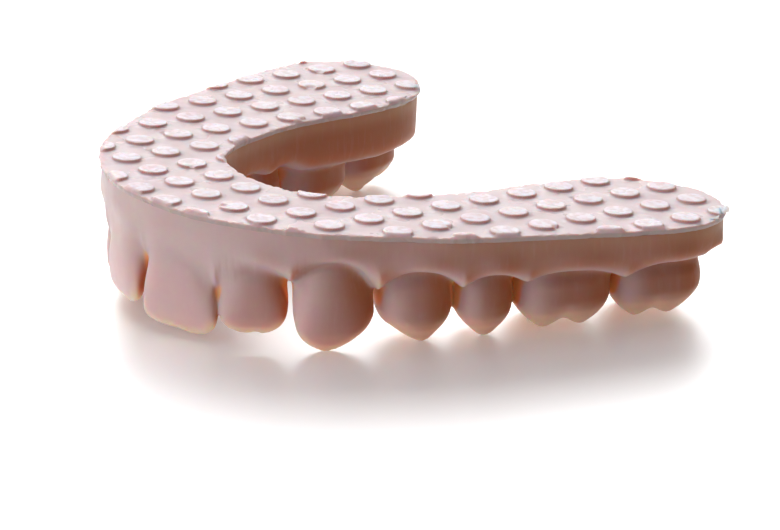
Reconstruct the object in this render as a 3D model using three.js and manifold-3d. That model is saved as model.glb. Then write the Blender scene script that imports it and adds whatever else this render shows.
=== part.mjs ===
// A full upper dental arch model, printed in resin, lying on its teeth with its flat base up.
// Millimetres. X points to the patient's left, Y to the back of the mouth, Z up from the biting
// plane to the base. The model's pieces are the first cured layer with its raised discs, the
// horseshoe base, the gum and fourteen crowns that stand in sockets in the gum.
import * as THREE from "three";
import { mergeVertices } from "three/addons/utils/BufferGeometryUtils.js";
import Module from "manifold-3d";

const wasm = await Module();
wasm.setup();

// ---- Driving dimensions ----
const GAP = 0.3; // clearance between neighbouring pieces
const BASE_HEIGHT = 12.35; // from the biting plane to the base face, at the frame's Z axis
const BASE_PITCH = THREE.MathUtils.degToRad(3.2); // the base face is higher at the front teeth
const BASE_ROLL = THREE.MathUtils.degToRad(1.2); // and a little higher on the patient's right
const LAYER = 0.6; // thickness of the first cured layer
const SLAB = 1.3; // thickness of the horseshoe base
const DISC_PITCH = 4.8; // square grid of the build platform's holes
const DISC_RADIUS = 1.5;
const DISC_HEIGHT = 0.4;
const DISC_SIDES = 10;
const GRID_OFFSET = new THREE.Vector2(-1.58, -1.03); // of a disc's centre from the frame's axis
const LAYER_OVERHANG = 0.25; // the first layer spreads past the base all round
const GUM_TOP = LAYER + GAP + SLAB + GAP; // depth of the gum's top below the base face

// Half of the base's outline, from the middle of the front round the left arm to the middle of
// the inner edge. The right half mirrors it.
const HALF_OUTLINE = [
  [0, -25.9], [6.5, -25.1], [12.6, -22.3], [18.8, -17.4], [23.2, -11.2], [26.4, -6.0],
  [28.9, 0.5], [31.5, 8.0], [33.4, 14.0], [33.8, 19.2], [31.4, 23.8], [25.4, 26.0],
  [19.9, 23.6], [16.9, 19.6], [15.5, 14.0], [15.0, 7.5], [14.2, 2.0], [12.4, -3.4],
  [9.8, -8.4], [6.3, -11.5], [0, -13.0],
];
const OUTLINE_POINTS = 88;

// ---- Crowns ----
// Where neighbouring crowns touch, on the patient's left, from the midline back to the far face of
// the second molar. The right side mirrors them.
const CONTACTS = [
  [0, -25.2], [8.7, -22.5], [13.2, -17.2], [17.5, -10.1], [21.2, -3.0], [23.4, 2.8], [26.6, 12.6],
  [29.4, 21.2],
].map(([x, y]) => new THREE.Vector2(x, y));

// depth is the crown's size from lip or cheek to tongue, out how far its outer face stands past the
// line between its contacts, tip the height of its biting end and neck the height where it enters
// the gum. margin and papilla are the gum's depth below the base face over the tooth and at its
// far contact.
const TEETH = [
  { name: "central_incisor", kind: "incisor", depth: 6.6, out: 2.0, tip: 0.7, neck: 9.7,
    margin: 3.3, papilla: 7.0 },
  { name: "lateral_incisor", kind: "lateral", depth: 6.2, out: 2.2, tip: 1.4, neck: 8.4,
    margin: 4.6, papilla: 5.8 },
  { name: "canine", kind: "canine", depth: 8.4, out: 4.2, tip: 0.0, neck: 8.9,
    margin: 3.3, papilla: 6.1 },
  { name: "first_premolar", kind: "premolar", depth: 9.4, out: 3.3, tip: 0.3, neck: 7.8,
    margin: 4.0, papilla: 5.7 },
  { name: "second_premolar", kind: "premolar", depth: 9.2, out: 3.0, tip: 0.4, neck: 6.9,
    margin: 4.4, papilla: 5.4 },
  { name: "first_molar", kind: "molar", depth: 12.0, out: 3.7, tip: 0.3, neck: 6.4,
    margin: 4.4, papilla: 5.4 },
  { name: "second_molar", kind: "molar", depth: 11.0, out: 3.2, tip: 0.3, neck: 6.0,
    margin: 4.0, papilla: 4.4 },
];
const MIDLINE_PAPILLA = 5.2;
const RIGHT_LIFT = { central_incisor: 0.9, lateral_incisor: 0.5 }; // these end higher on the right
const ROOT_STUB = 1.0; // how far a crown runs on into its socket
const RING_POINTS = 20;

// Profiles of the front kinds, from the biting end (0) to the neck (1): height share, centre and
// half width as shares of the width, then the outer and inner faces as shares of the crown's depth
// behind its outer face.
const FRONT_PROFILES = {
  incisor: [
    [0.0, 0.0, 0.38, 0.04, 0.16], [0.03, 0.0, 0.425, 0.02, 0.21], [0.12, 0.0, 0.465, 0.0, 0.3],
    [0.3, 0.0, 0.485, 0.0, 0.46], [0.55, 0.0, 0.44, 0.03, 0.72], [0.8, 0.0, 0.38, 0.08, 0.96],
    [1.0, 0.0, 0.33, 0.14, 1.0],
  ],
  lateral: [
    [0.0, -0.05, 0.24, 0.04, 0.16], [0.05, -0.04, 0.35, 0.02, 0.22], [0.16, -0.02, 0.43, 0.0, 0.32],
    [0.32, -0.01, 0.47, 0.0, 0.48], [0.55, 0.0, 0.46, 0.03, 0.72], [0.8, 0.0, 0.41, 0.08, 0.96],
    [1.0, 0.0, 0.35, 0.14, 1.0],
  ],
  canine: [
    [0.0, -0.1, 0.03, 0.06, 0.13], [0.06, -0.09, 0.13, 0.03, 0.21], [0.15, -0.06, 0.27, 0.0, 0.33],
    [0.27, -0.02, 0.41, 0.0, 0.47], [0.43, 0.0, 0.485, 0.0, 0.68], [0.68, 0.0, 0.46, 0.04, 0.92],
    [1.0, 0.0, 0.36, 0.16, 1.0],
  ],
};

// Cusps of the back kinds: place along the arch and outwards as shares of the half width and half
// depth, and height above the tooth's own tip in millimetres.
const CUSPS = {
  premolar: [[0.0, 0.6, 0.0], [-0.08, -0.56, 1.1]],
  molar: [[-0.52, 0.7, 0.4], [0.28, 0.72, 0.4], [-0.2, -0.52, 0.0], [0.5, -0.5, 0.4]],
};
const CUSP_SLOPE = 0.72;
const CUSP_ROUND = 0.5; // radius of a cusp's tip
const GROOVE_BLEND = 0.35; // softness of the grooves between cusps
// Side profile of a back crown from its rim (0) to its neck (1): height share, outline share.
const BACK_SIDE = [[0.0, 0.8], [0.22, 0.93], [0.5, 1.0], [0.78, 0.94], [1.0, 0.84]];
const TONGUE_TAPER = 0.07; // a back crown narrows towards the tongue
const BACK_HALF_WIDTH = 0.485; // of a back crown at its widest, as a share of its contact step
const ROUND_POWER = 2.3; // roundness of a crown's section: 2 is an ellipse, more is squarer
const MOLAR_POWER = 2.9;
const STUB_SHARE = 0.93; // how far the root stub draws in from the neck

// ---- Gum values ----
const STATIONS_PER_TOOTH = 4;
// Places behind the last molar where the gum closes round the end of the arm.
const TAIL = [[30.4, 21.4], [29.7, 22.7], [28.6, 24.0]];
const PALATE_EXTRA = 0.9; // the gum reaches further down on the tongue side
const MARGIN_INSET = 1.1; // from the wall in to the gum's margin
const RIGHT_REAR_DROP = 1.4; // how much deeper the gum is behind the right molars
const DROP_START = 5.4; // in teeth from the midline
const DROP_LENGTH = 1.4;
const TABLE_SHARES = [0.28, 0.55]; // rings of the chewing surface inside the rim


// One point of a rounded rectangle at an angle, with half extents of 1.
function roundedPoint(angle, power) {
  const c = Math.cos(angle);
  const s = Math.sin(angle);
  return [Math.sign(c) * Math.abs(c) ** (2 / power), Math.sign(s) * Math.abs(s) ** (2 / power)];
}

// A closed solid from rings of equal point counts, with a cap at each end.
function ringSolid(rings) {
  const count = rings[0].length;
  const positions = rings.flat(2);
  const middle = (ring) => [0, 1, 2].map((k) => ring.reduce((sum, p) => sum + p[k], 0) / count);
  positions.push(...middle(rings[0]), ...middle(rings.at(-1)));
  const first = rings.length * count;
  const index = [];
  for (let i = 0; i < count; i++) {
    const next = (i + 1) % count;
    for (let r = 0; r + 1 < rings.length; r++) {
      const a = r * count + i;
      const b = r * count + next;
      index.push(a, b, b + count, a, b + count, a + count);
    }
    const last = (rings.length - 1) * count;
    index.push(first, next, i, first + 1, last + i, last + next);
  }
  const geometry = new THREE.BufferGeometry();
  geometry.setAttribute("position", new THREE.Float32BufferAttribute(positions, 3));
  geometry.setIndex(index);
  return geometry;
}

// Rings of a front crown in its own frame: x along the arch, y outwards, z up from the tip.
function frontRings(tooth, grow) {
  const height = tooth.neck - tooth.tip;
  const profile = FRONT_PROFILES[tooth.kind];
  const neck = profile.at(-1);
  const stub = [1 + ROOT_STUB / height, 0, neck[2] * STUB_SHARE, neck[3] + 0.04, 0.96];
  return [...profile, stub].map(([share, centre, halfWidth, outer, inner]) => {
    const ring = [];
    for (let i = 0; i < RING_POINTS; i++) {
      const [u, v] = roundedPoint((i / RING_POINTS) * 2 * Math.PI, ROUND_POWER);
      const x = centre * tooth.width + u * (halfWidth * tooth.width + grow);
      const front = tooth.out - outer * tooth.depth + grow;
      const back = tooth.out - inner * tooth.depth - grow;
      ring.push([x, (front + back) / 2 + (v * (front - back)) / 2, share * height]);
    }
    return ring;
  });
}

// Height of a back crown's chewing surface over its tip, from the nearest cusps.
function chewingHeight(tooth, x, y, halfDepth, middle) {
  let sum = 0;
  for (const [u, v, rise] of CUSPS[tooth.kind]) {
    const dx = x - (u * tooth.width) / 2;
    const dy = y - middle - v * halfDepth;
    const away = Math.hypot(dx, dy, CUSP_ROUND) - CUSP_ROUND;
    sum += Math.exp(-(rise + CUSP_SLOPE * away) / GROOVE_BLEND);
  }
  return -GROOVE_BLEND * Math.log(sum);
}

// Rings of a back crown, from the middle of its chewing surface over the rim to the root stub.
function backRings(tooth, grow) {
  const height = tooth.neck - tooth.tip;
  const halfDepth = tooth.depth / 2;
  const middle = tooth.out - halfDepth;
  const power = tooth.kind === "molar" ? MOLAR_POWER : ROUND_POWER;
  const ringAt = (share, heightAt) => {
    const ring = [];
    for (let i = 0; i < RING_POINTS; i++) {
      const [u, v] = roundedPoint((i / RING_POINTS) * 2 * Math.PI, power);
      const x = u * (share * tooth.width * BACK_HALF_WIDTH * (1 + TONGUE_TAPER * (v - 1)) + grow);
      const y = middle + v * (share * halfDepth + grow);
      ring.push([x, y, heightAt(x, y)]);
    }
    return ring;
  };
  const chewing = (x, y) => chewingHeight(tooth, x, y, halfDepth, middle);
  const rings = TABLE_SHARES.map((share) => ringAt(share, chewing));
  const rimShare = BACK_SIDE[0][1];
  for (const [share, spread] of BACK_SIDE) {
    rings.push(ringAt(spread, (x, y) => {
      const inward = rimShare / spread;
      const rim = chewing(x * inward, middle + (y - middle) * inward);
      return rim + share * (height - rim);
    }));
  }
  rings.push(ringAt(BACK_SIDE.at(-1)[1] * STUB_SHARE, () => height + ROOT_STUB));
  return rings;
}

// A crown in the part's frame. side is 1 on the patient's left and -1 on the right; grow swells
// it all round to cut its socket.
function crownGeometry(shape, side, grow = 0) {
  const lift = side < 0 ? (RIGHT_LIFT[shape.name] ?? 0) : 0;
  const tooth = { ...shape, tip: shape.tip + lift };
  const rings = tooth.kind in FRONT_PROFILES ? frontRings(tooth, grow) : backRings(tooth, grow);
  const c = Math.cos(tooth.heading);
  const s = Math.sin(tooth.heading);
  const placed = rings.map((ring) => {
    const world = ring.map(([x, y, z]) => [
      side * (tooth.middle.x + x * c + y * s),
      tooth.middle.y + x * s - y * c,
      tooth.tip + z,
    ]);
    return side > 0 ? world.reverse() : world;
  });
  return ringSolid(placed);
}

// Each tooth lies along the line between its two contacts.
TEETH.forEach((tooth, k) => {
  const step = CONTACTS[k + 1].clone().sub(CONTACTS[k]);
  tooth.width = step.length();
  tooth.heading = step.angle();
  tooth.middle = CONTACTS[k].clone().addScaledVector(step, 0.5);
});

// ---- Base ----
const outlineCurve = new THREE.CatmullRomCurve3(
  [
    ...HALF_OUTLINE.map(([x, y]) => new THREE.Vector3(x, y, 0)),
    ...HALF_OUTLINE.slice(1, -1).reverse().map(([x, y]) => new THREE.Vector3(-x, y, 0)),
  ],
  true,
);
const outline = outlineCurve.getSpacedPoints(OUTLINE_POINTS).slice(0, -1)
  .map((p) => new THREE.Vector2(p.x, p.y));

// The outline moved out by a distance, along the normal at each point.
function outlineGrown(distance) {
  return outline.map((p, i) => {
    const before = outline.at(i - 1);
    const after = outline[(i + 1) % outline.length];
    const along = after.clone().sub(before).normalize();
    return new THREE.Vector2(p.x + along.y * distance, p.y - along.x * distance);
  });
}

function plate(points, bottom, thickness) {
  const geometry = new THREE.ExtrudeGeometry(new THREE.Shape(points), {
    depth: thickness, bevelEnabled: false, steps: 1,
  });
  return geometry.translate(0, 0, bottom);
}

// ---- Solids ----
function solidOf(geometry) {
  const bare = geometry.clone();
  bare.deleteAttribute("normal");
  bare.deleteAttribute("uv");
  const merged = mergeVertices(bare, 1e-4);
  return new wasm.Manifold(new wasm.Mesh({
    numProp: 3,
    vertProperties: merged.attributes.position.array,
    triVerts: new Uint32Array(merged.index.array),
  }));
}

function geometryOf(solid) {
  const mesh = solid.getMesh();
  const geometry = new THREE.BufferGeometry();
  geometry.setAttribute("position", new THREE.BufferAttribute(mesh.vertProperties.slice(), 3));
  geometry.setIndex(new THREE.BufferAttribute(mesh.triVerts.slice(), 1));
  return geometry;
}

// The first cured layer: a thin plate with a disc for each platform hole that it covers, trimmed
// by the layer's own edge.
function firstLayer() {
  const edge = outlineGrown(LAYER_OVERHANG);
  let layer = solidOf(plate(edge, -LAYER, LAYER));
  const trim = solidOf(plate(edge, -LAYER / 2, LAYER / 2 + DISC_HEIGHT));
  const reach = Math.ceil(36 / DISC_PITCH);
  let discs = null;
  for (let i = -reach; i <= reach; i++) {
    for (let j = -reach; j <= reach; j++) {
      const disc = new THREE.CylinderGeometry(DISC_RADIUS, DISC_RADIUS, DISC_HEIGHT + 0.2, DISC_SIDES)
        .rotateX(Math.PI / 2)
        .translate(i * DISC_PITCH + GRID_OFFSET.x, j * DISC_PITCH + GRID_OFFSET.y, DISC_HEIGHT / 2 - 0.1);
      const solid = solidOf(disc);
      discs = discs ? discs.add(solid) : solid;
    }
  }
  return geometryOf(layer.add(discs.intersect(trim)));
}

// ---- Gum ----
// Where a line from a point along a direction first crosses the outline.
function outlineHit(from, direction) {
  let nearest = Infinity;
  outline.forEach((a, i) => {
    const b = outline[(i + 1) % outline.length];
    const edge = b.clone().sub(a);
    const cross = direction.cross(edge);
    if (Math.abs(cross) < 1e-9) return;
    const offset = a.clone().sub(from);
    const along = offset.cross(edge) / cross;
    const share = offset.cross(direction) / cross;
    if (along > 0 && share >= 0 && share <= 1) nearest = Math.min(nearest, along);
  });
  return from.clone().addScaledVector(direction, nearest);
}

// How much deeper the gum is at a place along a side, in teeth from the midline.
function rearDrop(side, place) {
  if (side > 0) return 0;
  return RIGHT_REAR_DROP * THREE.MathUtils.smoothstep(place, DROP_START, DROP_START + DROP_LENGTH);
}

// Stations along one half of the gum, on the left side's coordinates: a point on the contact line,
// the outward direction and the gum's depth below the base face there.
function gumStations(side) {
  const stations = [];
  let papilla = MIDLINE_PAPILLA;
  TEETH.forEach((tooth, k) => {
    for (let i = 0; i < STATIONS_PER_TOOTH; i++) {
      const share = i / STATIONS_PER_TOOTH;
      const swing = (2 * share - 1) ** 2;
      const near = share < 0.5 ? papilla : tooth.papilla;
      const before = k === 0 ? -tooth.heading : TEETH[k - 1].heading;
      const heading = i === 0 ? (before + tooth.heading) / 2 : tooth.heading;
      stations.push({
        at: CONTACTS[k].clone().lerp(CONTACTS[k + 1], share),
        heading,
        depth: tooth.margin + (near - tooth.margin) * swing + rearDrop(side, k + share),
      });
    }
    papilla = tooth.papilla;
  });
  const last = TEETH.at(-1);
  for (const at of [CONTACTS.at(-1), ...TAIL.map(([x, y]) => new THREE.Vector2(x, y))]) {
    stations.push({ at, heading: last.heading, depth: papilla + rearDrop(side, TEETH.length) });
  }
  return stations;
}

// One section of the gum, across the arm at a station.
function gumSection({ at, heading, depth }, side) {
  const outward = new THREE.Vector2(Math.sin(heading), -Math.cos(heading));
  const outer = outlineHit(at, outward);
  const inner = outlineHit(at, outward.clone().negate());
  const width = outer.distanceTo(inner);
  const inset = Math.min(MARGIN_INSET, width / 6);
  const below = depth + PALATE_EXTRA;
  // Cheek wall, rounded margin, underside, rounded palate edge and palate wall, as the distance in
  // from the cheek wall and the depth.
  const cheek = [[0, GUM_TOP], [0, depth - 0.7], [inset * 0.35, depth - 0.15], [inset, depth + 0.1]];
  const underside = [[width * 0.33, depth + 0.35], [width * 0.66, below + 0.3]];
  const palate = [
    [width - 1.6 * inset, below], [width - 0.5 * inset, below - 0.6],
    [width, below - 1.6], [width, GUM_TOP],
  ];
  const points = [...cheek, ...underside, ...palate];
  const ring = points.map(([along, down]) => {
    const p = outer.clone().addScaledVector(outward, -along);
    return [side * p.x, p.y, -down];
  });
  return side > 0 ? ring : ring.reverse();
}

function gumBlank() {
  const left = gumStations(1);
  const right = gumStations(-1);
  const sections = [
    ...right.slice(1).reverse().map((station) => gumSection(station, -1)),
    ...left.map((station) => gumSection(station, 1)),
  ];
  const flipped = sections.map((ring, i) => (i < left.length - 1 ? [...ring].reverse() : ring));
  return ringSolid(flipped);
}

// ---- Assembly ----
const resin = new THREE.MeshStandardMaterial({ color: 0xd9b9a6, roughness: 0.45, metalness: 0 });
const firstResin = new THREE.MeshStandardMaterial({ color: 0xe9d9d2, roughness: 0.4, metalness: 0 });

function named(name, geometry, material) {
  const mesh = new THREE.Mesh(geometry, material);
  mesh.name = name;
  return mesh;
}

const model = new THREE.Group();
const base = new THREE.Group(); // everything that follows the base face
base.position.z = BASE_HEIGHT;
base.rotation.set(-BASE_PITCH, BASE_ROLL, 0);
base.updateMatrix();
model.add(base);

base.add(named("first_layer_with_discs", firstLayer(), firstResin));
base.add(named("horseshoe_base", plate(outline, -(LAYER + GAP + SLAB), SLAB), resin));

const toBase = base.matrix.clone().invert();
let gum = solidOf(gumBlank());
for (const side of [1, -1]) {
  for (const tooth of TEETH) {
    const name = (side > 0 ? "left_" : "right_") + tooth.name;
    model.add(named(name, crownGeometry(tooth, side), resin));
    gum = gum.subtract(solidOf(crownGeometry(tooth, side, GAP).applyMatrix4(toBase)));
  }
}
base.add(named("gum", geometryOf(gum), resin));

// The frame's origin is the middle of the box's underside, on the plane that the crowns rest on.
const box = new THREE.Box3().setFromObject(model, true);
const centre = box.getCenter(new THREE.Vector3());
model.position.set(-centre.x, -centre.y, -box.min.z);

export default model;
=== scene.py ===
"""A resin-printed model of an upper dental arch, lying on its crowns with its base up.

The crowns, gum and base are one smooth field on a grid, meshed once and then parted into a closed
piece for each CAD node. The first cured layer and its raised discs are a triangulated relief.
Lengths are in millimetres in the base's frame (Z up from the base face) unless a name says row,
which is the CAD's frame. Meshes are made in metres.
"""

import itertools
import math

import bpy
import numpy as np
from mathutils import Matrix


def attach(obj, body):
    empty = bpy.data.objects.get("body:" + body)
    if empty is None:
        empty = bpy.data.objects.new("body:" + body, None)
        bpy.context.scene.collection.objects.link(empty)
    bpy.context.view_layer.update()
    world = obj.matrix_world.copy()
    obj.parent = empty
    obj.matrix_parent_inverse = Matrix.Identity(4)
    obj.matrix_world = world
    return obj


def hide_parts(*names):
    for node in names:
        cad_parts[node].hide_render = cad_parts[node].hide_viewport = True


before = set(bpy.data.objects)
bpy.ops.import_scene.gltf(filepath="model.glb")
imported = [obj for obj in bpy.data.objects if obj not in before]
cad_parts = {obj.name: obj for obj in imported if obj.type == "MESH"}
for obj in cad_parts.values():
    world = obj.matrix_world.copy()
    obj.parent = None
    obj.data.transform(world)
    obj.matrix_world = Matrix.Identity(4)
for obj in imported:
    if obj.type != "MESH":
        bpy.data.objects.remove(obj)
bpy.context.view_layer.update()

import openvdb
from mathutils import Matrix, Vector, geometry, kdtree, noise

MM = 0.001
VOXEL = 0.2
RNG = np.random.default_rng(7)
CHUNK = 10000  # places worked on at once
TINY = 1e-9

# ---- Frames ----
BASE_PITCH = math.radians(3.2)
BASE_ROLL = math.radians(1.2)
BASE_ORIGIN = np.array([0.006, 0.132, 12.35])  # the base frame's origin in the row frame
ROW_FROM_BASE = np.array(Matrix.Rotation(-BASE_PITCH, 3, "X") @ Matrix.Rotation(BASE_ROLL, 3, "Y"))


def to_row(points):
    return points @ ROW_FROM_BASE.T + BASE_ORIGIN


def to_base(points):
    return (points - BASE_ORIGIN) @ ROW_FROM_BASE


# Which way the side painted browner as shade faces, in the row frame.
SHADE_SIDE = np.array([0.88, 0.47, 0.0])

# ---- The base's outline ----
HALF_OUTLINE = [
    (0, -25.9), (6.5, -25.1), (12.6, -22.3), (18.8, -17.4), (23.2, -11.2), (26.4, -6.0),
    (28.9, 0.5), (31.5, 8.0), (33.4, 14.0), (33.8, 19.2), (31.4, 23.8), (25.4, 26.0),
    (19.9, 23.6), (16.9, 19.6), (15.5, 14.0), (15.0, 7.5), (14.2, 2.0), (12.4, -3.4),
    (9.8, -8.4), (6.3, -11.5), (0, -13.0),
]
LAYER = 0.6  # thickness of the first cured layer
SLAB_BOTTOM = -2.05  # where the base gives way to the gum
DISC_PITCH = 4.8
DISC_RADIUS = 1.5
GRID_OFFSET = (-1.58, -1.03)  # middle of the grid's disc (0, 0)

# ---- The arch ----
# Contacts between neighbouring crowns on the patient's left, in the row's axes before its shift.
CONTACTS = np.array([
    (0, -25.2), (8.7, -22.5), (13.2, -17.2), (17.5, -10.1), (21.2, -3.0), (23.4, 2.8),
    (26.6, 12.6), (29.4, 21.2),
])
TAIL = np.array([(30.9, 25.4)])  # where the contact line leaves the back of the arm
# The gum's depth below the base face, at each tooth's middle and at each contact.
MARGINS = {
    "left": [3.3, 4.6, 3.3, 4.0, 4.4, 4.3, 4.0, 3.4],
    "right": [3.3, 4.6, 3.4, 4.0, 4.4, 4.5, 4.8, 6.4],
}
PAPILLAE = {
    "left": [5.2, 7.0, 5.8, 6.1, 5.7, 5.4, 5.4, 4.1, 3.0],
    "right": [5.2, 6.8, 6.0, 6.1, 5.7, 5.5, 5.6, 5.8, 6.8],
}
PALATE_MARGINS = {
    "left": [6.4, 5.6, 4.8, 4.8, 4.8, 4.7, 4.4, 3.6],
    "right": [6.4, 5.6, 4.8, 4.8, 5.0, 6.1, 6.0, 6.4],
}
PALATE_PAPILLAE = {
    "left": [7.2, 7.0, 5.8, 5.6, 5.5, 5.3, 5.0, 4.2, 3.2],
    "right": [7.2, 7.0, 5.8, 5.6, 5.5, 6.0, 6.2, 6.3, 6.8],
}


def smooth_curve(keys):
    """A monotone cubic through (place, value) pairs, flat beyond its ends."""
    places, values = (np.array(column, float) for column in zip(*keys))
    rises = np.diff(values) / np.diff(places)
    product, total = rises[1:] * rises[:-1], rises[1:] + rises[:-1]
    inner = np.where(product > 0, 2 * product / np.where(total == 0, 1, total), 0)
    tangents = np.concatenate([[0], inner, [0]])

    def value(at):
        i = np.clip(np.searchsorted(places, at) - 1, 0, len(places) - 2)
        span = places[i + 1] - places[i]
        u = np.clip((at - places[i]) / span, 0, 1)
        return ((2 * u**3 - 3 * u**2 + 1) * values[i] + (u**3 - 2 * u**2 + u) * span * tangents[i]
                + (3 * u**2 - 2 * u**3) * values[i + 1] + (u**3 - u**2) * span * tangents[i + 1])

    return value


def soft_min(a, b, width):
    """The smaller of two fields, blended over a width."""
    overlap = np.maximum(width - np.abs(a - b), 0) / width
    return np.minimum(a, b) - overlap**2 * width / 4


def soft_max(a, b, width):
    return -soft_min(-a, -b, width)


def catmull_rom(points, closed, steps):
    """Points on a Catmull-Rom curve through the given ones."""
    n = len(points)
    out = []
    for i in range(n if closed else n - 1):
        index = [(i + k) % n if closed else min(max(i + k, 0), n - 1) for k in (-1, 0, 1, 2)]
        a, b, c, d = (np.asarray(points[j], float) for j in index)
        for u in np.arange(steps) / steps:
            out.append(0.5 * (2 * b + (c - a) * u + (2 * a - 5 * b + 4 * c - d) * u**2
                              + (3 * b - a - 3 * c + d) * u**3))
    if not closed:
        out.append(np.asarray(points[-1], float))
    return np.array(out)


OUTLINE_STEPS = 10
outline = catmull_rom(HALF_OUTLINE + [(-x, y) for x, y in HALF_OUTLINE[-2:0:-1]], True, OUTLINE_STEPS)


def loop_distance(points, loop):
    """Signed distance to a closed loop in the plane, negative inside."""
    a = loop
    b = np.roll(loop, -1, axis=0)
    edge = b - a
    out = np.empty(len(points))
    for start in range(0, len(points), CHUNK):
        p = points[start:start + CHUNK, None]
        along = np.clip(((p - a) * edge).sum(-1) / (edge**2).sum(-1), 0, 1)
        gap = p - a - along[..., None] * edge
        near = np.sqrt((gap**2).sum(-1).min(1))
        spans = (a[:, 1] > p[..., 1]) != (b[:, 1] > p[..., 1])
        with np.errstate(divide="ignore", invalid="ignore"):
            crossing = a[:, 0] + (p[..., 1] - a[:, 1]) / edge[:, 1] * edge[:, 0]
        inside = (spans & (p[..., 0] < crossing)).sum(1) % 2 == 1
        out[start:start + CHUNK] = np.where(inside, -near, near)
    return out


# ---- Crowns ----
# depth runs from lip or cheek to tongue, out is the outer face's bulge past the contact line, tip
# the biting end's height over the resting plane and neck the height where the gum starts. rear
# widens a crown's back half by a share, and lean moves its cusps back by a share of its half width.
TEETH = [
    dict(name="central_incisor", kind="incisor", depth=6.6, out=2.1, tip=0.6, neck=9.7, rear=0.135),
    dict(name="lateral_incisor", kind="lateral", depth=6.2, out=2.4, tip=1.4, neck=8.4),
    dict(name="canine", kind="canine", depth=8.4, out=4.3, tip=-0.05, neck=8.9),
    dict(name="first_premolar", kind="premolar", depth=9.4, out=3.4, tip=0.46, neck=7.8, lean=0.17),
    dict(name="second_premolar", kind="premolar", depth=9.2, out=3.1, tip=0.45, neck=6.9, lean=-0.06),
    dict(name="first_molar", kind="molar", depth=12.0, out=3.9, tip=0.41, neck=6.4),
    dict(name="second_molar", kind="molar", depth=11.0, out=3.4, tip=0.35, neck=6.0, rear=0.2),
]
RIGHT_LIFT = {"central_incisor": 0.9, "lateral_incisor": 0.5}
ROOT = 1.2  # how far a crown's field runs on above its neck

# Heights as shares from the biting end to the neck, where the tables below give their values.
LEVELS = {
    "A": [0, 0.1, 0.3, 0.5, 0.75, 1.0, 1.2],
    "B": [0, 0.1, 0.25, 0.45, 0.65, 0.8, 1.0, 1.2],
    "C": [0, 0.1, 0.25, 0.45, 0.75, 1.0, 1.2],
    "D": [0, 0.15, 0.3, 0.45, 0.65, 0.85, 1.0, 1.2],
    "E": [0, 0.1, 0.25, 0.45, 0.65, 0.85, 1.0, 1.2],
    "F": [0, 0.15, 0.35, 0.55, 0.75, 1.0, 1.2],
}
# By kind and height: half width as a share of the width, then how far the outer and inner faces draw
# in, each with the name of its LEVELS. power is the cross-section's, and edge shapes the biting edge.
FRONT = {
    "incisor": dict(
        width=("A", [0.485, 0.51, 0.52, 0.51, 0.485, 0.45, 0.43]),
        outer=("A", [0.55, 0.38, 0.1, 0, 0.15, 0.65, 1.0]),
        inner=("B", [5.1, 4.8, 4.1, 2.9, 1.2, 0.2, 0, 0.2]),
        edge=dict(slope=-0.07, mesial=0.5, distal=0.8, lobes=0.03), power=2.6),
    "lateral": dict(
        width=("C", [0.38, 0.46, 0.53, 0.535, 0.5, 0.45, 0.42]),
        outer=("A", [0.7, 0.45, 0.12, 0, 0.1, 0.45, 0.9]),
        inner=("B", [4.7, 4.4, 3.8, 2.6, 1.1, 0.2, 0, 0.2]),
        edge=dict(slope=0.0, mesial=0.7, distal=2.1, lobes=0.05), power=2.4),
    "canine": dict(
        width=("D", [0.4, 0.465, 0.51, 0.535, 0.525, 0.48, 0.43, 0.39]),
        outer=("E", [1.0, 0.62, 0.22, 0, 0.05, 0.45, 1.0, 1.5]),
        inner=("B", [6.6, 6.1, 5.0, 3.2, 1.2, 0.2, 0, 0.2]),
        edge=dict(shift=0.1, mesial=0.62, distal=0.5, round=2.0, curve=0.05), power=2.15),
}
BACK = {
    "premolar": dict(
        width=("D", [0.4, 0.46, 0.505, 0.52, 0.52, 0.5, 0.47, 0.44]),
        outer=("F", [1.15, 0.7, 0.25, 0, 0.05, 0.5, 0.9]),
        inner=("F", [2.2, 1.5, 0.6, 0, 0, 0.5, 0.9]),
        power=2.35),
    "molar": dict(
        width=("D", [0.42, 0.47, 0.505, 0.515, 0.515, 0.5, 0.47, 0.45]),
        outer=("F", [1.25, 0.8, 0.3, 0, 0, 0.45, 0.9]),
        inner=("F", [2.0, 1.3, 0.5, 0, 0, 0.5, 0.9]),
        power=2.9),
}
# Ridges of the chewing surfaces: ends as (share of half width, share of half depth, height over
# the tip in millimetres).
RIDGES = {
    "premolar": [
        ((0.0, 0.56, 0.0), (-0.62, 0.5, 1.5)), ((0.0, 0.56, 0.0), (0.62, 0.5, 1.4)),
        ((0.0, 0.56, 0.0), (0.02, 0.02, 2.5)),
        ((-0.1, -0.5, 1.2), (-0.6, -0.35, 2.1)), ((-0.1, -0.5, 1.2), (0.5, -0.38, 2.1)),
        ((-0.1, -0.5, 1.2), (-0.02, -0.02, 2.6)),
        ((-0.78, 0.4, 2.0), (-0.74, -0.35, 2.3)), ((0.78, 0.4, 2.0), (0.74, -0.35, 2.3)),
    ],
    "molar": [
        ((-0.5, 0.6, 0.35), (-0.88, 0.5, 1.5)), ((-0.5, 0.6, 0.35), (-0.12, 0.56, 1.3)),
        ((0.3, 0.62, 0.4), (0.0, 0.56, 1.3)), ((0.3, 0.62, 0.4), (0.76, 0.5, 1.6)),
        ((-0.5, 0.6, 0.35), (-0.2, 0.12, 2.2)),
        ((-0.2, -0.56, 0.0), (-0.74, -0.4, 1.5)), ((-0.2, -0.56, 0.0), (0.2, -0.5, 1.3)),
        ((-0.2, -0.56, 0.0), (0.05, 0.05, 1.7)), ((0.3, 0.62, 0.4), (0.05, 0.05, 1.7)),
        ((0.56, -0.5, 0.5), (0.2, -0.52, 1.4)), ((0.56, -0.5, 0.5), (0.82, -0.2, 1.8)),
        ((-0.86, 0.4, 1.7), (-0.84, -0.3, 1.9)), ((0.84, 0.35, 1.8), (0.84, -0.1, 1.9)),
    ],
}
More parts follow.
